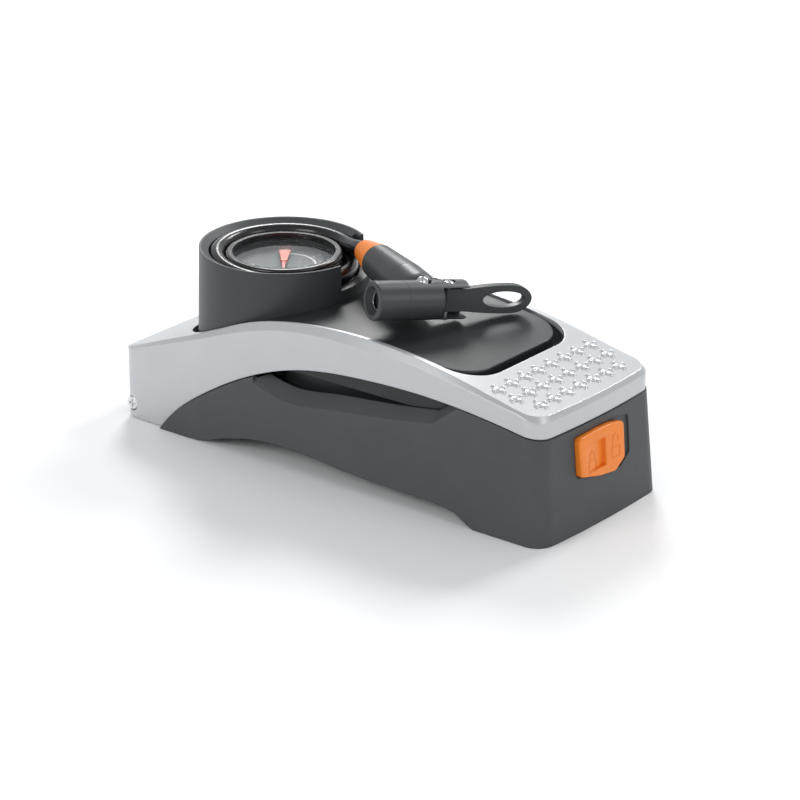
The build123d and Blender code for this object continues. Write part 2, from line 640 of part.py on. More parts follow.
def base_tongue():
    """Flat tail of the base that reaches the hinge, with two ears round its pin."""
    half = HALF_W - PEDAL_WALL - HINGE_BOSS - 0.8
    tail = block(HINGE_X - 3.0, FOOT_X + 6, -half, half, PAD_H, PAD_H + TONGUE_H)
    ears = []
    for s in (-1, 1):
        y = s * (half - 12.5)
        ear = along_y(HINGE_PIN_R + 1.9, 7, HINGE_X, y, HINGE_Z)
        ear = ear + block(HINGE_X - 3, HINGE_X + 4.4, y - 3.5, y + 3.5, PAD_H, HINGE_Z)
        ears.append(ear + block(HINGE_X, FOOT_X, y - 1.5, y + 1.5, PAD_H, HINGE_Z))
    tail = tail + ears[0] + ears[1]
    return tail - along_y(HINGE_PIN_R + RUN_CLEAR, WIDTH, HINGE_X, 0, HINGE_Z)


def front_lean_angle():
    return degrees(atan2(FRONT_LEAN - NOSE_BULGE + NOSE_BULGE, 64.0))


def front_face_x(z):
    """The front wall's outer face at the middle, at height z."""
    low, high = PEDAL_FRONT + FRONT_LEAN, PEDAL_FRONT + NOSE_BULGE
    return low + (high - low) * z / 64.0


def on_front(y, z, depth=0.0):
    """A place on the front wall, its Z pointing out of the wall."""
    tilt = degrees(atan2(front_face_x(0) - front_face_x(64), 64.0))
    return at(front_face_x(z) - depth, y, z, 0, 90 - tilt, 0)


RECESS_DEPTH = 1.6
RECESS_Y = 1.2          # middle of the slide's travel
# Outline of the slide on the front wall: down from its middle, then across.
SLIDE_OUTLINE = [(-13.3, -19.3), (-14.1, -2.0), (-13.6, 9.0), (-11.6, 19.2), (8.0, 19.2),
                 (13.2, 10.7), (11.6, -2.3), (7.5, -18.6)]
RECESS_OUTLINE = [(-13.9, -19.8), (-14.6, -2.0), (-14.4, 16.8), (-12.2, 27.5), (8.4, 27.5),
                  (13.9, 18.8), (13.8, 10.4), (12.2, -2.6), (8.0, -19.4)]


def slide_place():
    """The slide's own place on the front wall, locked."""
    return on_front(RECESS_Y - SLIDE_TRAVEL / 2, SLIDE_Z)


def lock_recess():
    """Shallow recess that the lock slide runs in."""
    cutter = extrude(make_face(Polyline(*RECESS_OUTLINE, close=True)), amount=RECESS_DEPTH, both=True)
    return slide_place() * fillet(cutter.edges().filter_by(Axis.Z), 2.6)


def lock_slot():
    return on_front(RECESS_Y, SLIDE_Z) * Box(7.0, SLIDE_TRAVEL + 12 + 2 * GAP, 30)


def front_posts():
    """Two bosses inside the front that carry the deck's front screws."""
    posts = []
    for s in (-1, 1):
        x, y = DECK_FRONT - 12, s * 28
        posts.append(upright(5, 9, DECK_POST_Z, x, y) - upright(1.6, DECK_POST_Z - 14, 90, x, y))
    return posts


DECK_POST_Z = 52.0
RIB_Y = 36.4            # inner face of the ribs under the deck
RIB_WALL = 1.8
RIB_FOOT = 34.0
SKIRT_Z = 54.0          # lower edge of the deck's skirts, above the finger recesses


# ---------------------------------------------------------------- base details
def bottom_cover():
    """Front cover plate under the pump, screwed to the floor."""
    x0, x1, half = cover_outline()
    plate = block(x0, x1, -half, half, PAD_H - 1.2, PAD_H)
    plate = fillet(plate.edges().filter_by(Axis.Z), 5.8)
    for x, y in cover_screw_places():
        plate = plate - upright(1.7, -1, 3, x, y)
    return plate


def cover_screw_places():
    x0, x1, half = cover_outline()
    return [(x, s * (half - 4)) for x in (x0 + 5, x1 - 5) for s in (-1, 1)]


def foot_pads():
    """Four rubber feet in the corners."""
    pads = []
    for x, y in ((FOOT_X - 7, 40), (X_FRONT - 27, 41)):
        for s in (-1, 1):
            pad = at(x, s * y, PAD_H / 2) * Box(16, 9, PAD_H)
            pads.append(fillet(pad.edges().filter_by(Axis.Z), 3))
    return pads


def lock_slide():
    """Thumb slide on the front wall, with a sloping thumb rest that ends in a step."""
    height = SLIDE_PROUD + RECESS_DEPTH - GAP
    body = extrude(make_face(Polyline(*SLIDE_OUTLINE, close=True)), amount=height)
    body = fillet(body.edges().filter_by(Axis.Z), 2.4)
    body = fillet(body.faces().sort_by(Axis.Z)[-1].edges(), 1.1)
    deep = [(-15.0, height + 0.01), (2.6, height + 0.01), (2.0, height - 2.3), (-11.0, height - 0.5)]
    rest = make_face(Polyline(*[(0, y, z) for y, z in deep], close=True))
    rest = Pos(-0.6, 0, 0) * extrude(rest, amount=7.6, dir=(1, 0, 0), both=True)
    stem = Pos(0, 0, -6.0) * Box(6.0, 12.0, 12.2)
    return slide_place() * (Pos(0, 0, GAP - RECESS_DEPTH) * (body - rest) + stem)


def lock_bolt():
    """Steel bolt plate that the slide carries behind the front wall."""
    plate = Pos(0, 0, -14.1) * Box(9, 20, 2.0)
    plate = plate + Pos(-8, 7.2, -14.1) * Box(14, 2.4, 2.0)
    plate = plate - Pos(0, 0, -14) * Cylinder(1.6, 6)
    return slide_place() * plate


def bolt_screw():
    screw = Pos(0, 0, -16.4) * Cylinder(3.0, 2.5) + Pos(0, 0, -14.2) * Cylinder(1.58, 2.2)
    return slide_place() * screw


def catch_hook():
    """Hook under the tread that the bolt holds."""
    x = PEDAL_FRONT - PEDAL_WALL - 9.5
    top = back_height(x) - PEDAL_SKIN - 1.6
    y0 = RECESS_Y + 15.3
    hook = block(x - 2, x + 2, y0, y0 + 6, 40, top)
    flange = block(x - 6, x + 4, y0 - 6, y0 + 12, top - 1.5, top)
    return hook + flange


# ---------------------------------------------------------------- deck and tower
def deck_plan_prism(inset, z0, z1):
    return prism(opening_outline(DECK_SIDE_GAP + inset, DECK_FRONT_GAP + inset), z0, z1)


def deck_cover():
    """Deck between the tower and the tread: a skin with skirts that stand in the base."""
    top = slab(band_below(back_edge(0.0, DECK_DROP), 0), HALF_W)
    under = slab(band_below(back_edge(0.0, DECK_DROP + DECK_SKIN), 0), HALF_W)
    cover = deck_plan_prism(0.0, SKIRT_Z, TOWER_TOP) & top
    cover = cover - (deck_plan_prism(DECK_SKIN, 0, TOWER_TOP) & under)
    rim = cover.edges().filter_by(lambda e: is_deck_front(e))
    cover = fillet(rim, 1.0)
    cover = cover + deck_ribs()
    for s in (-1, 1):
        x, y = DECK_FRONT - 12, s * 28
        post = upright(5, DECK_POST_Z, back_height(x) - DECK_DROP - 1.0, x, y)
        cover = cover + (post & under)
    tower = upright(TOWER_R + 4.2, 0, TOWER_TOP + 5, TOWER_X)
    return cover - tower + deck_collar()


def deck_ribs():
    """Two upright ribs under the deck that close the space behind the finger recesses."""
    x0, x1 = station(GRIP_OUTLINE[0][0]) - 2.0, DECK_FRONT - 22.0
    under = slab(band_below(back_edge(0.0, DECK_DROP + DECK_SKIN - 0.2), 0), HALF_W)
    near = block(x0, x1, -RIB_Y - RIB_WALL, -RIB_Y, RIB_FOOT, TOWER_TOP)
    far = block(x0, x1, RIB_Y, RIB_Y + RIB_WALL, RIB_FOOT, TOWER_TOP)
    return (near + far) & under


def is_deck_front(edge):
    middle = edge @ 0.5
    return middle.X > DECK_FRONT - 1.5 and middle.Z > 66 and edge.length > 20


def deck_collar():
    """Ring of the deck that fits round the foot of the tower."""
    ring = upright(TOWER_R + 4.3, 0, TOWER_TOP, TOWER_X) & slab(band_below(back_edge(0.0, DECK_DROP), 0), HALF_W)
    ring = ring - slab(band_below(back_edge(0.0, DECK_DROP + DECK_SKIN), 0), HALF_W)
    ring = ring & deck_plan_prism(0.0, 0, TOWER_TOP) & block(TOWER_X, X_FRONT, -60, 60, 0, TOWER_TOP)
    return ring - tower_cone(0.05, -5)


def tower_cone(grow, z0):
    """The tower's outer cone, from height z0 to its rim."""
    foot = TOWER_R + (TOWER_TOP - z0) * tan(radians(TOWER_DRAFT))
    return cone(foot + grow, TOWER_R + grow, z0, TOWER_TOP, TOWER_X)


TOWER_FOOT = 4.5        # how far the tower's wall reaches under the pedal's back
NOTCH_FROM, NOTCH_TO = -8.0, 60.0


def under_back(drop):
    """Everything below the pedal's back, lowered by drop."""
    return slab(band_below(back_edge(0.0, drop), 0), HALF_W + 10)


def gauge_tower():
    """Tower round the gauge, with the hose groove and its exit notch."""
    tower = tower_cone(0.0, 30.0) - under_back(TOWER_FOOT)
    lip = cone(GROOVE_OUT_R, TOWER_R - 0.9, TOWER_TOP - 2.4, TOWER_TOP + 0.01, TOWER_X)
    groove = upright(GROOVE_OUT_R, GROOVE_FLOOR, TOWER_TOP - 2.3, TOWER_X) + lip
    groove = groove - upright(GROOVE_IN_R, 0, BEZEL_TOP - BEZEL_H - 0.02, TOWER_X)
    well = upright(GAUGE_R - CUP_INSET, GAUGE_BASE, TOWER_TOP + 1, TOWER_X)
    well = well + upright(PIPE_R + 0.3, 50, 90, TOWER_X + 4, 9.0)
    room = tower_cone(-TOWER_WALL, 20) - upright(TOWER_R + 10, GROOVE_FLOOR - 2.4, TOWER_TOP + 5, TOWER_X)
    tower = tower - groove - well - (room & block(-200, 200, -60, 60, 0, GROOVE_FLOOR - 2.4))
    tower = tower - exit_notch() - deck_notch()
    root_x, root_y = groove_point(ROOT_ANGLE + ROOT_GAP / 2)
    tower = tower - upright(ROOT_LEG_R + 0.02, 50, GROOVE_FLOOR + 1, root_x, root_y)
    return tower


TOWER_WALL = 2.6


def exit_notch():
    """Cut in the tower's wall where the hose runs out over the deck."""
    wedge = [(0, 0), (70 * cos(radians(NOTCH_FROM)), 70 * sin(radians(NOTCH_FROM))), (80, 35),
             (70 * cos(radians(NOTCH_TO)), 70 * sin(radians(NOTCH_TO)))]
    plan = Pos(TOWER_X, 0, NOTCH_FLOOR) * make_face(Polyline(*wedge, close=True))
    return extrude(plan, amount=40, dir=(0, 0, 1)) - upright(GROOVE_OUT_R - 3, 0, 200, TOWER_X)


NOTCH_FLOOR = 88.0


def deck_notch():
    """A path for the hose's tangent run through the wall."""
    x, y = groove_point(HOSE_EXIT_ANGLE)
    run = at(x, y, TOP_TURN_Z + 6, 0, 0, HOSE_EXIT_ANGLE - 90)
    return run * Pos(20, 0, 0) * Box(44, 14.4, 24)


def groove_point(angle, radius=GROOVE_R):
    return (TOWER_X + radius * cos(radians(angle)), radius * sin(radians(angle)))


GAUGE_BASE = 76.0
LENS_T = 2.0
BEZEL_H = 6.0


def gauge_housing():
    """Cup that holds the dial and the movement."""
    cup = upright(GAUGE_R - CUP_INSET - 0.05, GAUGE_BASE, BEZEL_TOP - 4, TOWER_X)
    cup = cup - upright(GLASS_R + 0.4, GAUGE_BASE + 2, BEZEL_TOP, TOWER_X)
    return cup - upright(PIPE_R + 0.3, 60, GAUGE_BASE + 5, TOWER_X + 4, 9.0)


def gauge_bezel():
    """Bezel ring over the cup, with a rounded top and a step for the lens."""
    ring = upright(GAUGE_R, BEZEL_TOP - BEZEL_H, BEZEL_TOP, TOWER_X)
    ring = fillet(ring.edges().group_by(Axis.Z)[-1], 1.6)
    ring = ring - upright(GLASS_R - 0.8, 0, BEZEL_TOP + 1, TOWER_X)
    ring = ring - upright(GLASS_R + 0.42, 0, BEZEL_TOP - 1.6, TOWER_X)
    return ring - upright(GAUGE_R - CUP_INSET, 0, BEZEL_TOP - 4 + 0.02, TOWER_X)


def gauge_lens():
    return upright(GLASS_R + 0.3, BEZEL_TOP - 1.65 - LENS_T, BEZEL_TOP - 1.65, TOWER_X)


def gauge_dial():
    dial = upright(GLASS_R + 0.3, DIAL_TOP - 1.0, DIAL_TOP, TOWER_X)
    return dial - upright(1.6, 0, 200, TOWER_X)


NEEDLE_AT = -51.0       # needle direction at zero, degrees


def gauge_needle():
    """Pointer: a slim tip, a broad tail and a hub cap on its spindle."""
    tip = [(19.0, 0.0), (0.0, 1.4), (-16.5, 3.4), (-16.5, -3.4), (0.0, -1.4)]
    blade = extrude(make_face(Polyline(*tip, close=True)), amount=0.7, dir=(0, 0, 1))
    hub = Pos(0, 0, 0.6) * Cylinder(2.2, 1.4) + Pos(0, 0, -2.8) * Cylinder(0.9, 6.0)
    return at(TOWER_X, 0, DIAL_TOP + 1.6, 0, 0, NEEDLE_AT) * (blade + hub)


def gauge_movement():
    """Brass plate under the dial with the sector's posts and the spindle's bush."""
    plate = at(TOWER_X, 0, DIAL_TOP - 6.5) * Box(24, 16, 1.2)
    bush = upright(2.2, DIAL_TOP - 6.5, DIAL_TOP - 1.6, TOWER_X)
    plate = plate + bush
    for x, y in ((-9, -5), (9, 5)):
        plate = plate + upright(1.2, GAUGE_BASE + 2.02, DIAL_TOP - 1.02, TOWER_X + x, y)
    return plate - upright(0.9 + RUN_CLEAR, 60, 120, TOWER_X)


def bourdon_tube():
    """Bent tube that straightens with pressure, from the inlet block round the cup."""
    z = GAUGE_BASE + 4.6
    arc = CenterArc((TOWER_X, 0, z), 20.0, 80, 250)
    tube = sweep(Plane(origin=arc @ 0, z_dir=arc % 0) * Ellipse(1.2, 2.2), path=arc)
    inlet = block(TOWER_X + 0.5, TOWER_X + 7.5, 6.0, 22.5, GAUGE_BASE + 2.02, z + 3)
    return tube + inlet - upright(PIPE_R - 0.8, 60, z, TOWER_X + 4, 9.0)


# ---------------------------------------------------------------- hose and its fittings
ROOT_ANGLE = 250.0      # where the hose starts, at the bottom of its groove
ROOT_GAP = 34.0         # degrees of the lowest turn that the root fitting takes
ROOT_LEG_R = 2.6


def hose_coil():
    """Closed ring with the outer shape of the stacked turns, open where the root fitting is."""
    top, low = TOP_TURN_Z + HOSE_D / 2, GROOVE_FLOOR + GAP
    ring = upright(GROOVE_R + HOSE_D / 2, low, top, TOWER_X)
    ring = ring - upright(GROOVE_R - HOSE_D / 2, 0, 200, TOWER_X)
    ring = fillet(ring.edges().group_by(Axis.Z)[-1], HOSE_D / 2 - 0.6)
    room = sector(ROOT_ANGLE, ROOT_ANGLE + ROOT_GAP, 0, low + HOSE_D + 0.3)
    return ring - room - neck_bar(COLLAR_R + 0.4, NECK_R + 0.6, COLLAR_AT - 0.3, COLLAR_L)


def sector(from_angle, to_angle, z0, z1):
    """A wedge of space round the tower's axis."""
    reach = 90.0
    middle = (from_angle + to_angle) / 2
    corners = [(0, 0)] + [(reach * cos(radians(a)), reach * sin(radians(a)))
                          for a in (from_angle, middle, to_angle)]
    plan = Pos(TOWER_X, 0, z0) * make_face(Polyline(*corners, close=True))
    return extrude(plan, amount=z1 - z0, dir=(0, 0, 1))


def hose_root():
    """Brass elbow that rises from the floor of the groove and turns along it."""
    z = GROOVE_FLOOR + GAP + HOSE_D / 2
    x, y = groove_point(ROOT_ANGLE + ROOT_GAP / 2)
    turn = ROOT_ANGLE + ROOT_GAP / 2 - 90
    body = Box(9, 6.4, 7.0) + Pos(0, 0, -6.6) * Cylinder(ROOT_LEG_R, 7.2)
    spigot = Pos(6.4, -0.9, 0) * Rot(0, 90, 0) * Cylinder(2.9, 6.6)
    nut = Pos(5.0, -0.4, 0) * Rot(0, 90, 0) * Cylinder(3.7, 1.6)
    return at(x, y, z, 0, 0, turn) * (body + spigot + nut)


NECK_DIR = HOSE_EXIT_ANGLE - 90.0
COLLAR_R = 6.2          # at the hose end
COLLAR_AT = 25.7        # along the tangent, from where the hose leaves its groove
COLLAR_L = 17.3


def along_neck(distance):
    """A place on the neck's line, its X pointing away from the tower."""
    joint = at(*CHUCK_PLACE) * Rot(0, 0, NECK_DIR) * Rot(0, NECK_SLOPE, 0)
    return joint * Pos(distance - NECK_REACH, 0, 0)


def neck_bar(r0, r1, start, length):
    """A round or tapered bar along the neck's line."""
    bar = Cylinder(r0, length) if r0 == r1 else Cone(r0, r1, length)
    return along_neck(start + length / 2) * Rot(0, 90, 0) * bar


def hose_lead():
    """Free stretch of hose that rises from the groove to the collar."""
    return lead_bar(HOSE_D / 2)


def lead_bar(radius):
    """A round bar on the line of the free stretch of hose."""
    x, y = groove_point(HOSE_EXIT_ANGLE)
    dx, dy = cos(radians(NECK_DIR)), sin(radians(NECK_DIR))
    start = Vector(x + dx, y + dy, TOP_TURN_Z + 0.1)
    run = along_neck(COLLAR_AT + 3).position - start
    middle = Plane(origin=start + run / 2, z_dir=run)
    return middle * Cylinder(radius, run.length)


def hose_collar():
    """Orange tapered collar that grips the hose."""
    collar = neck_bar(COLLAR_R, NECK_R, COLLAR_AT, COLLAR_L)
    return collar - lead_bar(HOSE_D / 2 + 0.02) - neck_bar(2.4, 2.4, COLLAR_AT, COLLAR_L)


CHUCK_PLACE = (TOWER_X + GROOVE_R * cos(radians(HOSE_EXIT_ANGLE)) + NECK_REACH * cos(radians(NECK_DIR)),
               GROOVE_R * sin(radians(HOSE_EXIT_ANGLE)) + NECK_REACH * sin(radians(NECK_DIR)), CHUCK_Z)


def chuck_axis(distance, side=0.0, up=0.0):
    """A place on the barrel's axis, measured from its mouth; X runs towards the lever."""
    joint = at(*CHUCK_PLACE) * Rot(0, 0, CHUCK_ANGLE) * Rot(0, CHUCK_ROLL, 0)
    return joint * Pos(distance - MOUTH_SHARE, side, up)


SEAM_AT = 17.5          # mouth to the seam round the barrel


def barrel_bar(radius, start, length):
    return chuck_axis(start + length / 2) * Rot(0, 90, 0) * Cylinder(radius, length)


def chuck_neck():
    """Sleeve that widens between the collar and the body."""
    start = COLLAR_AT + COLLAR_L + 0.05
    length = NECK_END - start
    bar = neck_bar(NECK_R, BRANCH_R, start, length)
    return bar - neck_bar(2.4, 2.4, start - 1, length + 2)


VALVE_R = 4.1           # hole for the tyre valve
LEVER_AT = 43.5         # lever pivot, from the mouth
LEVER_SLOT = 6.4


def chuck_body():
    """Rear part of the chuck: barrel and branch in one moulding, slotted for the lever."""
    start = NECK_END + 0.1
    branch = neck_bar(BRANCH_R, BRANCH_R, start, DOME_AT - start) + along_neck(DOME_AT) * Sphere(BRANCH_R)
    branch = branch - barrel_bar(CHUCK_R + 0.05, -5.0, SEAM_AT + 5.05)
    barrel = barrel_bar(CHUCK_R, SEAM_AT + 0.1, CHUCK_LENGTH - SEAM_AT - 0.1)
    barrel = fillet(barrel.edges().filter_by(GeomType.CIRCLE).sort_by(Axis.Y)[-1], 1.6)
    body = branch + barrel
    body = body - barrel_bar(VALVE_R + 1.4, SEAM_AT - 1, 13.0)
    slot = chuck_axis(LEVER_AT + 6) * Box(24, LEVER_SLOT, LEVER_H + 1.0)
    body = body - slot - chuck_axis(LEVER_AT) * Cylinder(1.55, 40)
    body = body - chuck_axis(LEVER_AT + 6, -8.0) * Box(24, 16.0, LEVER_H + 1.0)
    body = body - screw_place() * Pos(0, 0, 3.0) * Cylinder(3.9, 8)
    return body - pin_place() * Pos(0, 0, 2.8) * Cylinder(3.4, 8)


NECK_END = 77.0         # seam between the neck and the body, along the neck's line
DOME_AT = NECK_REACH - 11.0
LEVER_H = 15.6
LEVER_T = 5.2


def screw_place():
    """Where the screw sits on the dome that ends the branch, facing up and forward."""
    return along_neck(DOME_AT) * Rot(0, SCREW_TIP, 0) * Pos(0, 0, BRANCH_R - 0.7)


SCREW_TIP = 42.0


def pin_place():
    """Top of the barrel at the lever's pivot."""
    return chuck_axis(LEVER_AT, 0.0, CHUCK_R - 1.2)


def chuck_screw():
    return screw_place() * Pos(0, 0, -1.0) * screw_head(3.6, 2.1)


def lever_pin():
    """Pivot pin through the barrel, with a domed head; its end stands out below."""
    pin = chuck_axis(LEVER_AT, 0.0, -1.2) * Cylinder(1.5, 2 * CHUCK_R - 1.2)
    return pin + pin_place() * Pos(0, 0, -1.2) * screw_head(2.9, 1.9)


def chuck_nose():
    """Screwed nose cap with the valve hole."""
    nose = barrel_bar(CHUCK_R, 0, SEAM_AT)
    nose = fillet(nose.edges().filter_by(GeomType.CIRCLE).sort_by(Axis.Y)[0], 1.2)
    nose = nose - barrel_bar(7.6, -1, 5.0)
    nose = nose - barrel_bar(VALVE_R + 1.4, 0, SEAM_AT + 1)
    return nose


def chuck_seal():
    """Rubber grommet behind the nose that grips the valve."""
    seal = barrel_bar(VALVE_R + 1.3, 5.0, 20.0)
    return seal - barrel_bar(VALVE_R, 4.0, 16.0) - barrel_bar(1.4, 4.0, 24.0)


def seal_washer():
    """Bright washer at the bottom of the nose's counterbore."""
    washer = barrel_bar(7.4, 3.0, 0.9)
    return washer - barrel_bar(VALVE_R + 0.3, 0, 8)


def valve_depressor():
    """Pin in the middle of the chuck that opens the tyre valve."""
    pin = barrel_bar(1.3, 20.0, 6.0)
    return pin + barrel_bar(1.9, 25.2, 1.6)


def chuck_lever():
    """Cam lever with a teardrop loop, standing on edge at the barrel's end."""
    hub = Cylinder(LEVER_T / 2, LEVER_ROOT)
    half, root = LEVER_H / 2, LEVER_ROOT / 2
    outline = [(10.0, -root), (LEVER_REACH - 15.0, -half), (LEVER_REACH - 3.0, -5.0), (LEVER_REACH, 0.0),
               (LEVER_REACH - 3.0, 5.0), (LEVER_REACH - 15.0, half), (10.0, root)]
    rim = Spline(*[(x, 0, z) for x, z in outline], tangents=[(1, 0, -0.1), (-1, 0, -0.1)])
    edges = [Line((0, 0, -root), rim @ 0), rim, Line(rim @ 1, (0, 0, root)), Line((0, 0, root), (0, 0, -root))]
    blade = slab(ring_face(edges), LEVER_T / 2 - 0.4)
    eye = Pos(LEVER_REACH - 16.5, 0, 0) * Rot(90, 0, 0) * extrude(Ellipse(12.5, 4.4), amount=10, both=True)
    lever = hub + blade - eye - Cylinder(1.5 + RUN_CLEAR, 40)
    return chuck_axis(LEVER_AT) * lever


LEVER_REACH = 49.5      # pivot to the tip of the loop
LEVER_ROOT = 12.4       # height of the blade at its pivot


# ---------------------------------------------------------------- springs and screws
def return_springs():
    """Two torsion springs on the hinge pin."""
    springs = []
    for s in (-1, 1):
        coil = coil_spring(3.15, 0.45, 1.2, 8)
        springs.append(at(HINGE_X, s * 18 + 4.8, HINGE_Z, 90, 0, 0) * coil)
    return springs


def deck_screws():
    """Screws up through the base's posts into the deck."""
    screws = []
    for s in (-1, 1):
        x, y = DECK_FRONT - 12, s * 28
        screws.append(upright(1.55, DECK_POST_Z - 12, DECK_POST_Z - 0.05, x, y))
    return screws


def cover_screws():
    """Four short screws through the cover plate into the floor."""
    return [upright(1.6, PAD_H - 1.2, BASE_FLOOR - 0.6, x, y) for x, y in cover_screw_places()]


PARTS = {
    "pedal_frame": pedal_frame,
    "crank_bracket": crank_bracket,
    "crank_pin": crank_pin,
    "crank_clip": crank_clip,
    "catch_hook": catch_hook,
    "connecting_link": connecting_link,
    "piston_rod": piston_rod,
    "wrist_pin": wrist_pin,
    "piston": piston,
    "piston_ring": piston_ring,
    "pump_cylinder": pump_cylinder,
    "cylinder_rear_cap": cylinder_rear_cap,
    "rod_bush": rod_bush,
    "cylinder_head": cylinder_head,
    "valve_disc": valve_disc,
    "valve_spring": valve_spring,
    "outlet_nut": outlet_nut,
    "air_pipe": air_pipe,
    "cylinder_saddles": cylinder_saddles,
    "cylinder_straps": cylinder_straps,
    "base_shell": base_shell,
    "bottom_cover": bottom_cover,
    "foot_pads": foot_pads,
    "hinge_pin": hinge_pin,
    "hinge_screws": hinge_screws,
    "return_springs": return_springs,
    "lock_slide": lock_slide,
    "lock_bolt": lock_bolt,
    "bolt_screw": bolt_screw,
    "deck_cover": deck_cover,
    "deck_screws": deck_screws,
    "cover_screws": cover_screws,
    "gauge_tower": gauge_tower,
    "gauge_housing": gauge_housing,
    "gauge_bezel": gauge_bezel,
    "gauge_lens": gauge_lens,
    "gauge_dial": gauge_dial,
    "gauge_needle": gauge_needle,
    "gauge_movement": gauge_movement,
    "bourdon_tube": bourdon_tube,
    "hose_coil": hose_coil,
    "hose_root": hose_root,
    "hose_lead": hose_lead,
    "hose_collar": hose_collar,
    "chuck_neck": chuck_neck,
    "chuck_body": chuck_body,
    "chuck_nose": chuck_nose,
    "chuck_seal": chuck_seal,
    "seal_washer": seal_washer,
    "valve_depressor": valve_depressor,
    "chuck_lever": chuck_lever,
    "lever_pin": lever_pin,
    "chuck_screw": chuck_screw,
}


def as_compound(shape):
    """One shape from a solid or a list of identical solids."""
    if isinstance(shape, (list, tuple)):
        solids = [solid for piece in shape for solid in piece.solids()]
        return solids[0] if len(solids) == 1 else Compound(children=solids)
    solids = shape.solids()
    return solids[0] if len(solids) == 1 else Compound(children=list(solids))


os.makedirs("parts", exist_ok=True)
for name, make in PARTS.items():
    export_step(as_compound(make()), f"parts/{name}.step")
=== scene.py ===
import bpy
import json
from math import cos, pi, radians, sin
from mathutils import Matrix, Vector
from mathutils.bvhtree import BVHTree


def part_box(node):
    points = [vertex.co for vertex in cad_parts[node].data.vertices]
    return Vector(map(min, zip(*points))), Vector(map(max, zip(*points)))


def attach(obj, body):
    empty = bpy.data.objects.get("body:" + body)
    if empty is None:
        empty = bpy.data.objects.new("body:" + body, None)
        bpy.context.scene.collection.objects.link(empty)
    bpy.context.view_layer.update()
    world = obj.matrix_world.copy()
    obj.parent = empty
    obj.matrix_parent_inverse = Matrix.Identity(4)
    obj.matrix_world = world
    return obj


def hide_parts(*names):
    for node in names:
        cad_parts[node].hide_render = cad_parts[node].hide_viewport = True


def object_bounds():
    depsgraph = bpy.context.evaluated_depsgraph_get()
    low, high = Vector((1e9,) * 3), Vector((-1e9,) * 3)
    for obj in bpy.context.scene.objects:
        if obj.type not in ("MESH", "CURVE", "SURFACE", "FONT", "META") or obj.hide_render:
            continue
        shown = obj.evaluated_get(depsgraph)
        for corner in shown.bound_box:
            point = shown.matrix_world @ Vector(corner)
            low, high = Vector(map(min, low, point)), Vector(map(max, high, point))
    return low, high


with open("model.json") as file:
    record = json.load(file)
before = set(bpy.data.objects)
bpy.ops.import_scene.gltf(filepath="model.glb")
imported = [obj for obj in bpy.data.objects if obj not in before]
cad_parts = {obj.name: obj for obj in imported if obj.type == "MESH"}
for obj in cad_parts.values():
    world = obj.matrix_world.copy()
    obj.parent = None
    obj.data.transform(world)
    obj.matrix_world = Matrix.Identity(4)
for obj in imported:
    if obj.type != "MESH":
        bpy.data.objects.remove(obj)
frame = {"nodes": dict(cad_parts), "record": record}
cad_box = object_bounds()
MM = 0.001

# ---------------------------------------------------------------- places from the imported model
bezel_lo, bezel_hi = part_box("gauge_bezel")
TOWER = Vector(((bezel_lo.x + bezel_hi.x) / 2, 0.0, 0.0))
DIAL_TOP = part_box("gauge_dial")[1].z
coil_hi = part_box("hose_coil")[1]
HOSE_R = 4.0 * MM
GROOVE_R = 36.4 * MM
TOP_TURN = coil_hi.z - HOSE_R
PITCH = 8.3 * MM


# ---------------------------------------------------------------- camera
CAMERA_PLACE = (1.09546, -1.34992, 0.74578)
AZIMUTH, ELEVATION = 38.8, 22.4        # degrees
LENS, SENSOR = 157.5, 36.0             # mm

cam = bpy.data.cameras.new("camera")
cam.lens, cam.sensor_width = LENS, SENSOR
cam.clip_start, cam.clip_end = 0.05, 20.0
camera = bpy.data.objects.new("camera", cam)
bpy.context.scene.collection.objects.link(camera)
camera.location = CAMERA_PLACE
azimuth, elevation = radians(AZIMUTH), radians(ELEVATION)
back = Vector((sin(azimuth) * cos(elevation), -cos(azimuth) * cos(elevation), sin(elevation)))
camera.rotation_mode = "QUATERNION"
camera.rotation_quaternion = (-back).to_track_quat("-Z", "Y")
bpy.context.scene.camera = camera


# ---------------------------------------------------------------- the hose
def round_tower(angle, radius, z):
    a = radians(angle)
    return Vector((TOWER.x + radius * cos(a), TOWER.y + radius * sin(a), z))


START, LEAVES = 250.0, 64.0        # where the hose enters and leaves the groove, degrees
NECK_DIRECTION = LEAVES - 90.0
RING_STEPS = 62                    # points round the groove
CUT_INSIDE = 0.9925                # the spline's radius over its points' radius
LEAD = [(2.5, 0.1), (11.0, 1.6), (20.0, 3.7), (28.0, 3.9)]      # reach and lift past the groove, mm
# The turns lie level round the back and climb on the near side: unwrapped angle, then level.
LEVELS = [(970.0, 0.0), (784.0, 0.0), (575.0, 1.0), (424.0, 1.0), (215.0, 2.0), (64.0, 2.0)]


def turn_height(angle):
    for (a0, k0), (a1, k1) in zip(LEVELS, LEVELS[1:]):
        if a1 <= angle <= a0:
            level = k0 + (k1 - k0) * (a0 - angle) / (a0 - a1)
            return TOP_TURN + PITCH * (level - 2.0)
    return TOP_TURN


def hose_route():
    """Round the groove from the root fitting, then out along the tangent and up into the collar."""
    points = []
    first, last = START + 720.0, LEAVES + 8.0
    for i in range(RING_STEPS + 1):
        a = first + (last - first) * i / RING_STEPS
        points.append(round_tower(a, GROOVE_R / CUT_INSIDE, turn_height(a)))
    leave = round_tower(LEAVES, GROOVE_R, TOP_TURN)
    along = Vector((cos(radians(NECK_DIRECTION)), sin(radians(NECK_DIRECTION)), 0.0))
    for reach, lift in LEAD:
        points.append(leave + along * reach * MM + Vector((0, 0, lift * MM)))
    return points


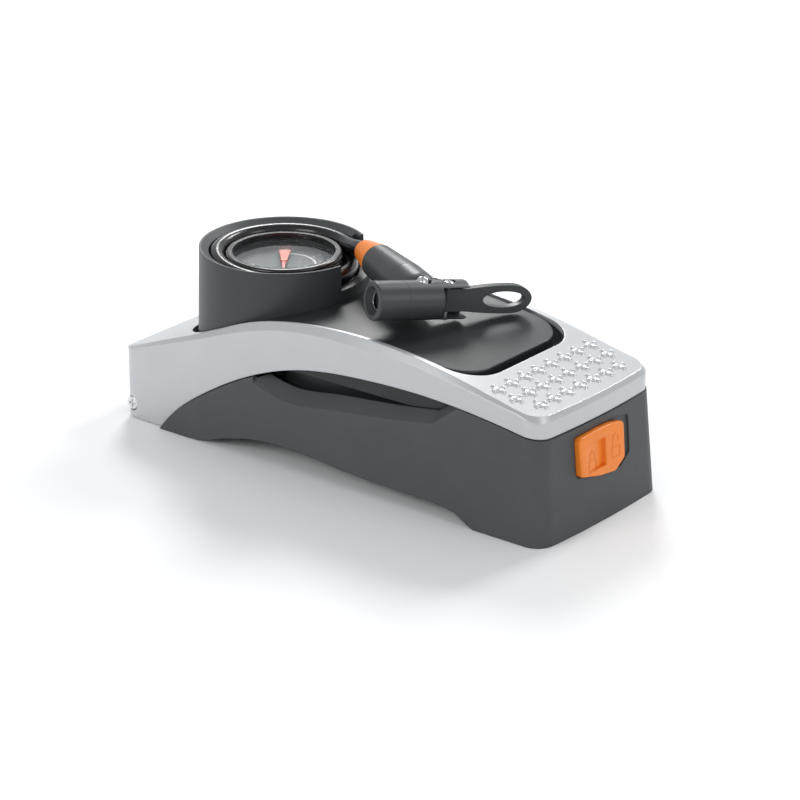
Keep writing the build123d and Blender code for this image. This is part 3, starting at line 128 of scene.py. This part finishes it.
def nurbs(name, points, radius):
    curve = bpy.data.curves.new(name, "CURVE")
    curve.dimensions = "3D"
    spline = curve.splines.new("NURBS")
    spline.points.add(len(points) - 1)
    for p, q in zip(spline.points, points):
        p.co = (*q, 1.0)
        p.radius = radius
    spline.order_u = 3
    spline.use_endpoint_u = True
    spline.resolution_u = 10
    curve.bevel_depth = 1.0        # times each point's radius
    curve.bevel_resolution = 8
    curve.use_fill_caps = True
    obj = bpy.data.objects.new(name, curve)
    bpy.context.scene.collection.objects.link(obj)
    return obj


route = hose_route()
hose = nurbs("hose", route, HOSE_R)
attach(hose, "base")
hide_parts("hose_coil", "hose_lead")


# ---------------------------------------------------------------- materials
def new_material(name):
    mat = bpy.data.materials.new(name)
    mat.use_nodes = True
    nodes, links = mat.node_tree.nodes, mat.node_tree.links
    bsdf = nodes["Principled BSDF"]
    where = nodes.new("ShaderNodeTexCoord").outputs["Object"]
    return mat, nodes, links, bsdf, where


def noise(nodes, links, where, scale, detail=2.0, rough=0.5):
    n = nodes.new("ShaderNodeTexNoise")
    n.inputs["Scale"].default_value = scale
    n.inputs["Detail"].default_value = detail
    n.inputs["Roughness"].default_value = rough
    links.new(where, n.inputs["Vector"])
    return n.outputs["Fac"]


def spread(nodes, links, value, low, high, a, b):
    m = nodes.new("ShaderNodeMapRange")
    m.inputs["From Min"].default_value, m.inputs["From Max"].default_value = a, b
    m.inputs["To Min"].default_value, m.inputs["To Max"].default_value = low, high
    links.new(value, m.inputs["Value"])
    return m.outputs["Result"]


def shades(nodes, links, value, dark, light):
    r = nodes.new("ShaderNodeMix")
    r.data_type = "RGBA"
    links.new(value, r.inputs["Factor"])
    r.inputs["A"].default_value = (*dark, 1)
    r.inputs["B"].default_value = (*light, 1)
    return r.outputs["Result"]


def soft_edges(nodes, links, bsdf, height, depth, strength, edge):
    """Bump from a height, over edges rounded by a small radius."""
    bevel = nodes.new("ShaderNodeBevel")
    bevel.samples = 6
    bevel.inputs["Radius"].default_value = edge
    bump = nodes.new("ShaderNodeBump")
    bump.inputs["Strength"].default_value = strength
    bump.inputs["Distance"].default_value = depth
    links.new(height, bump.inputs["Height"])
    links.new(bevel.outputs["Normal"], bump.inputs["Normal"])
    links.new(bump.outputs["Normal"], bsdf.inputs["Normal"])


def finish(name, colour, rough, grain=1500.0, depth=0.05, strength=0.25, edge=0.5, metal=0.0, coat=0.0,
           coat_rough=0.1, vary=0.12, ior=1.46, specular=0.5, swing=0.06):
    """Moulded, painted or metal surface: fine grain, faint mottling and rounded edges."""
    mat, nodes, links, bsdf, where = new_material(name)
    fine = noise(nodes, links, where, grain, 3.0)
    broad = noise(nodes, links, where, 45.0, 4.0, 0.6)
    factor = spread(nodes, links, broad, 0.0, 1.0, 0.3, 0.7)
    dark = tuple(c * (1 - vary) for c in colour)
    light = tuple(min(1.0, c * (1 + vary)) for c in colour)
    links.new(shades(nodes, links, factor, dark, light), bsdf.inputs["Base Color"])
    links.new(spread(nodes, links, fine, rough - swing, rough + swing, 0.3, 0.7), bsdf.inputs["Roughness"])
    bsdf.inputs["Metallic"].default_value = metal
    bsdf.inputs["Coat Weight"].default_value = coat
    bsdf.inputs["Coat Roughness"].default_value = coat_rough
    bsdf.inputs["IOR"].default_value = ior
    bsdf.inputs["Specular IOR Level"].default_value = specular
    soft_edges(nodes, links, bsdf, fine, depth * MM, strength, edge * MM)
    return mat


def glass_finish():
    mat, nodes, links, bsdf, where = new_material("clear_lens")
    smear = noise(nodes, links, where, 60.0, 2.0)
    bsdf.inputs["Base Color"].default_value = (1, 1, 1, 1)
    bsdf.inputs["Transmission Weight"].default_value = 1.0
    bsdf.inputs["IOR"].default_value = 1.2
    links.new(spread(nodes, links, smear, 0.0, 0.03, 0.3, 0.7), bsdf.inputs["Roughness"])
    clear = nodes.new("ShaderNodeBsdfTransparent")
    clear.inputs["Color"].default_value = (0.97, 0.98, 0.98, 1)
    mix = nodes.new("ShaderNodeMixShader")
    mix.inputs["Fac"].default_value = 0.12
    links.new(clear.outputs[0], mix.inputs[1])
    links.new(bsdf.outputs[0], mix.inputs[2])
    out = nodes["Material Output"]
    links.new(mix.outputs[0], out.inputs["Surface"])
    return mat


SILVER = finish("silver_paint", (0.53, 0.545, 0.56), 0.34, 2600.0, 0.02, 0.15, 0.8, metal=0.45, coat=0.2,
                coat_rough=0.2, vary=0.02)
BASE = finish("base_plastic", (0.058, 0.064, 0.067), 0.50, 1900.0, 0.06, 0.45, 0.6, vary=0.06)
DECK = finish("deck_plastic", (0.019, 0.022, 0.023), 0.42, 2400.0, 0.03, 0.22, 0.8, vary=0.05)
TOWER_MAT = finish("tower_plastic", (0.038, 0.042, 0.044), 0.42, 2200.0, 0.03, 0.25, 0.6, vary=0.05)
BLACK = finish("gloss_black", (0.012, 0.012, 0.013), 0.22, 900.0, 0.01, 0.08, 0.4, coat=0.15, coat_rough=0.12,
               vary=0.1, swing=0.03)
ORANGE = finish("orange_plastic", (0.90, 0.235, 0.02), 0.40, 1700.0, 0.03, 0.2, 0.6, vary=0.03)
RUBBER = finish("matt_rubber", (0.02, 0.02, 0.021), 0.75, 1500.0, 0.05, 0.4, 0.4)
HOSE = finish("hose_rubber", (0.010, 0.010, 0.011), 0.24, 700.0, 0.02, 0.12, 0.2, coat=0.12, coat_rough=0.12,
              vary=0.15, swing=0.05)
CHUCK = finish("chuck_plastic", (0.045, 0.049, 0.052), 0.38, 2000.0, 0.03, 0.25, 0.5, vary=0.05)
STEEL = finish("zinc_steel", (0.52, 0.52, 0.53), 0.32, 1100.0, 0.02, 0.2, 0.3, metal=1.0, vary=0.08)
CHROME = finish("bright_plate", (0.78, 0.78, 0.79), 0.12, 900.0, 0.01, 0.1, 0.25, metal=1.0, vary=0.04,
                swing=0.04)
ALUMINIUM = finish("turned_aluminium", (0.66, 0.67, 0.69), 0.30, 1300.0, 0.02, 0.2, 0.3, metal=1.0)
BRASS = finish("turned_brass", (0.72, 0.52, 0.22), 0.28, 1100.0, 0.02, 0.2, 0.3, metal=1.0)
DIAL = finish("dial_card", (0.19, 0.20, 0.205), 0.6, 1500.0, 0.01, 0.1, 0.1, vary=0.03)
NEEDLE = finish("needle_paint", (0.80, 0.16, 0.10), 0.35, 1200.0, 0.01, 0.1, 0.15, vary=0.04)
WHITE_INK = finish("white_ink", (0.88, 0.88, 0.88), 0.5, 1500.0, 0.005, 0.1, 0.05, vary=0.02)
STUD = finish("silver_bumps", (0.60, 0.615, 0.63), 0.26, 2600.0, 0.01, 0.1, 0.2, metal=0.45, coat=0.4,
              coat_rough=0.08, vary=0.02, swing=0.04)
GLASS = glass_finish()

BY_SLOT = {"pedal_silver": SILVER, "base_grey": BASE, "deck_grey": DECK, "tower_grey": TOWER_MAT,
           "black_plastic": BLACK, "orange_plastic": ORANGE, "rubber": RUBBER, "hose_rubber": HOSE,
           "chuck_plastic": CHUCK, "steel": STEEL, "chrome": CHROME, "aluminium": ALUMINIUM, "brass": BRASS,
           "glass": GLASS, "dial_print": DIAL, "needle_red": NEEDLE}
for part in frame["record"]["subparts"]:
    obj = frame["nodes"][part["node"]]
    for s in obj.material_slots:
        s.material = BY_SLOT[part["material_slot"]]
hose.data.materials.append(HOSE)


# ---------------------------------------------------------------- dial print
def mesh_piece(name, verts, faces, material, body, smooth=False):
    mesh = bpy.data.meshes.new(name)
    mesh.from_pydata([tuple(v) for v in verts], [], faces)
    mesh.materials.append(material)
    obj = bpy.data.objects.new(name, mesh)
    bpy.context.scene.collection.objects.link(obj)
    if smooth:
        mesh.polygons.foreach_set("use_smooth", [True] * len(mesh.polygons))
    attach(obj, body)
    return obj


INK = DIAL_TOP + 0.04 * MM             # height of the print
SCALE_FROM, SCALE_SWEEP = 129.0, 270.0     # degrees, clockwise
BAND_IN, BAND_OUT = 16.4 * MM, 17.6 * MM
BAND_STEPS = 96
TICK_OUT = 20.4 * MM
TICKS, NUMBERS = 50, 5
NUMBER_R, NUMBER_SIZE = 22.8 * MM, 4.2 * MM


def arc_band(verts, faces, r0, r1, a0, a1, z, steps):
    base = len(verts)
    for i in range(steps + 1):
        a = a0 + (a1 - a0) * i / steps
        verts += [round_tower(a, r0, z), round_tower(a, r1, z)]
    for i in range(steps):
        k = base + 2 * i
        faces.append((k, k + 1, k + 3, k + 2))


def tick(verts, faces, angle, r0, r1, width, z):
    a = radians(angle)
    side = Vector((-sin(a), cos(a), 0)) * width / 2
    low, high = round_tower(angle, r0, z), round_tower(angle, r1, z)
    k = len(verts)
    verts += [low - side, high - side, high + side, low + side]
    faces.append((k, k + 1, k + 2, k + 3))


def dial_print():
    verts, faces = [], []
    arc_band(verts, faces, BAND_IN, BAND_OUT, SCALE_FROM - SCALE_SWEEP, SCALE_FROM, INK, BAND_STEPS)
    mesh_piece("dial_band", verts, faces, WHITE_INK, "base")
    verts, faces = [], []
    for i in range(TICKS + 1):
        if i % 10 == 0:
            start, width = 18.0 * MM, 0.55 * MM
        elif i % 5 == 0:
            start, width = 18.6 * MM, 0.35 * MM
        else:
            start, width = 19.2 * MM, 0.22 * MM
        tick(verts, faces, SCALE_FROM - SCALE_SWEEP * i / TICKS, start, TICK_OUT, width, INK)
    mesh_piece("dial_ticks", verts, faces, WHITE_INK, "base")
    for i in range(NUMBERS + 1):
        dial_number(i, SCALE_FROM - SCALE_SWEEP * i / NUMBERS)


def dial_number(i, angle):
    """One printed number, turned to read from the dial's centre."""
    text = bpy.data.curves.new(f"dial_number_{i}", "FONT")
    text.body = str(2 * i)
    text.size = NUMBER_SIZE
    text.align_x, text.align_y = "CENTER", "CENTER"
    text.extrude = 0.01 * MM
    obj = bpy.data.objects.new(f"dial_number_{i}", text)
    bpy.context.scene.collection.objects.link(obj)
    obj.location = round_tower(angle, NUMBER_R, INK)
    obj.rotation_euler = (0, 0, radians(angle - 90))
    bpy.context.view_layer.update()
    mesh = bpy.data.meshes.new_from_object(obj)
    mesh.transform(obj.matrix_world)
    bpy.data.objects.remove(obj)
    mesh.materials.clear()
    mesh.materials.append(WHITE_INK)
    number = bpy.data.objects.new(f"dial_number_{i}", mesh)
    bpy.context.scene.collection.objects.link(number)
    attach(number, "base")


dial_print()


# ---------------------------------------------------------------- tread studs
STUD_ROWS = [(40.7, 8), (29.5, 8), (18.3, 7)]      # behind the front, and how many across
STUD_PITCH = 11.3
STUD_WIDE, STUD_TALL = 3.5 * MM, 1.0 * MM
BEAD_WIDE, BEAD_TALL, BEAD_OUT = 1.7 * MM, 1.2 * MM, 3.3 * MM
FEEL = 4.6 * MM        # the slope is read this far either side of a stud


def tread_bumps():
    """A cushion and four beads over each of the pedal's studs, laid on the tread's own slope."""
    pedal = frame["nodes"]["pedal_frame"]
    tree = BVHTree.FromObject(pedal, bpy.context.evaluated_depsgraph_get())
    front = cad_box[1].x
    verts, faces = [], []
    for setback, count in STUD_ROWS:
        x = front - setback * MM
        for n in range(count):
            y = (n - (count - 1) / 2) * STUD_PITCH * MM
            ahead = tree.ray_cast(Vector((x + FEEL, y, 0.2)), Vector((0, 0, -1)))[0]
            behind = tree.ray_cast(Vector((x - FEEL, y, 0.2)), Vector((0, 0, -1)))[0]
            along = (ahead - behind).normalized()
            up = along.cross(Vector((0, -1, 0))).normalized()
            if up.z < 0:
                up = -up
            side = up.cross(along)
            add_bump(verts, faces, (ahead + behind) / 2, along, side, up)
    mesh_piece("tread_bumps", verts, faces, STUD, "pedal", smooth=True)


def add_bump(verts, faces, centre, along, side, up):
    """One stud: a low cushion with four beads round it."""
    add_dome(verts, faces, centre, along, side, up, STUD_WIDE, STUD_TALL)
    for turn in (0, 90, 180, 270):
        out = along * cos(radians(turn)) + side * sin(radians(turn))
        add_dome(verts, faces, centre + out * BEAD_OUT, along, side, up, BEAD_WIDE, BEAD_TALL)


def add_dome(verts, faces, centre, along, side, up, wide, tall):
    """A round dome, sunk a hair at its rim."""
    base = len(verts)
    rings, spokes = 6, 24
    verts.append(centre + up * tall)
    for i in range(1, rings + 1):
        share = i / rings
        height = tall * (1 - share ** 2.2) - 0.05 * MM * share
        for k in range(spokes):
            a = 2 * pi * k / spokes
            verts.append(centre + (along * cos(a) + side * sin(a)) * wide * share + up * height)
    for k in range(spokes):
        faces.append((base, base + 1 + k, base + 1 + (k + 1) % spokes))
    for i in range(rings - 1):
        for k in range(spokes):
            p = base + 1 + i * spokes
            q = p + spokes
            nxt = (k + 1) % spokes
            faces.append((p + k, q + k, q + nxt, p + nxt))


tread_bumps()


# ---------------------------------------------------------------- padlock marks on the slide
LINE_R = 0.24 * MM


def wire(name, points, radius, material, body, closed=False):
    curve = bpy.data.curves.new(name, "CURVE")
    curve.dimensions = "3D"
    spline = curve.splines.new("POLY")
    spline.points.add(len(points) - 1)
    for p, q in zip(spline.points, points):
        p.co = (*q, 1.0)
    spline.use_cyclic_u = closed
    curve.bevel_depth = radius
    curve.bevel_resolution = 3
    curve.use_fill_caps = True
    obj = bpy.data.objects.new(name, curve)
    bpy.context.scene.collection.objects.link(obj)
    mesh = bpy.data.meshes.new_from_object(obj)
    bpy.data.objects.remove(obj)
    mesh.materials.clear()
    mesh.materials.append(material)
    mesh.polygons.foreach_set("use_smooth", [True] * len(mesh.polygons))
    piece = bpy.data.objects.new(name, mesh)
    bpy.context.scene.collection.objects.link(piece)
    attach(piece, body)
    return piece


def slide_marks():
    """A closed and an open padlock, moulded as fine raised lines on the slide's face."""
    slide = frame["nodes"]["lock_slide"]
    tree = BVHTree.FromObject(slide, bpy.context.evaluated_depsgraph_get())
    lo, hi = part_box("lock_slide")
    middle_y, middle_z = (lo.y + hi.y) / 2, (lo.z + hi.z) / 2

    def on_face(dy, dz):
        start = Vector((hi.x + 0.05, middle_y + dy * MM, middle_z + dz * MM))
        return tree.ray_cast(start, Vector((-1, 0, 0)))[0] + Vector((0.02 * MM, 0, 0))

    for name, y, z, lift in (("mark_locked", -8.4, -2.6, 0.0), ("mark_open", 11.0, -1.0, 2.2)):
        body = [(y - 3.4, z - 4.6), (y + 3.4, z - 4.6), (y + 3.4, z + 1.0), (y - 3.4, z + 1.0)]
        wire(name + "_body", [on_face(*p) for p in dense(body, True)], LINE_R, ORANGE, "lock",
             True)
        arch = [(y + 2.3 * cos(radians(a)), z + 3.6 + lift + 2.3 * sin(radians(a))) for a in range(0, 181, 15)]
        ends = [(y + 2.3, z + 1.0 + (2.4 if lift else 0.0))]
        shackle = ends + arch + [(y - 2.3, z + 1.0)]
        wire(name + "_shackle", [on_face(*p) for p in dense(shackle, False)], LINE_R, ORANGE, "lock")


def dense(points, closed):
    out = []
    pairs = list(zip(points, points[1:] + points[:1])) if closed else list(zip(points, points[1:]))
    for (a0, b0), (a1, b1) in pairs:
        for i in range(4):
            out.append((a0 + (a1 - a0) * i / 4, b0 + (b1 - b0) * i / 4))
    if not closed:
        out.append(points[-1])
    return out


slide_marks()


# ---------------------------------------------------------------- floor and light
def floor():
    mesh = bpy.data.meshes.new("floor")
    mesh.from_pydata([(-6, -6, 0), (6, -6, 0), (6, 6, 0), (-6, 6, 0)], [], [(0, 1, 2, 3)])
    obj = bpy.data.objects.new("floor", mesh)
    bpy.context.scene.collection.objects.link(obj)
    mat, _, _, bsdf, _ = new_material("floor")
    bsdf.inputs["Base Color"].default_value = (0.92, 0.92, 0.92, 1)
    bsdf.inputs["Roughness"].default_value = 0.6
    mesh.materials.append(mat)
    obj.location.z = -0.0002


def soft_light(name, place, target, size, power):
    data = bpy.data.lights.new(name, "AREA")
    data.shape = "RECTANGLE"
    data.size, data.size_y = size
    data.energy = power
    obj = bpy.data.objects.new(name, data)
    bpy.context.scene.collection.objects.link(obj)
    obj.location = place
    aim = Vector(target) - Vector(place)
    obj.rotation_mode = "QUATERNION"
    obj.rotation_quaternion = aim.to_track_quat("-Z", "Y")


def studio_world():
    """Even pale surroundings, a little dimmer overhead."""
    world = bpy.data.worlds.new("studio")
    bpy.context.scene.world = world
    world.use_nodes = True
    nodes, links = world.node_tree.nodes, world.node_tree.links
    where = nodes.new("ShaderNodeTexCoord")
    split = nodes.new("ShaderNodeSeparateXYZ")
    ramp = nodes.new("ShaderNodeMapRange")
    ramp.inputs["From Min"].default_value, ramp.inputs["From Max"].default_value = 0.05, 0.9
    ramp.inputs["To Min"].default_value, ramp.inputs["To Max"].default_value = 0.74, 0.46
    links.new(where.outputs["Generated"], split.inputs["Vector"])
    links.new(split.outputs["Z"], ramp.inputs["Value"])
    links.new(ramp.outputs["Result"], nodes["Background"].inputs["Strength"])
    nodes["Background"].inputs["Color"].default_value = (0.96, 0.98, 1.0, 1)


floor()
studio_world()
soft_light("key", (-0.2, -1.5, 0.9), (0, 0, 0.05), (0.9, 0.6), 9.0)
soft_light("back_left", (-0.75, 0.9, 0.95), (-0.05, 0, 0.08), (0.35, 0.5), 9.0)
soft_light("back_right", (0.1, 1.15, 1.0), (-0.05, 0, 0.08), (0.3, 0.5), 8.0)
soft_light("side", (1.3, 0.1, 0.8), (0, 0, 0.05), (0.6, 0.6), 3.0)
bpy.context.scene.view_settings.view_transform = "Standard"
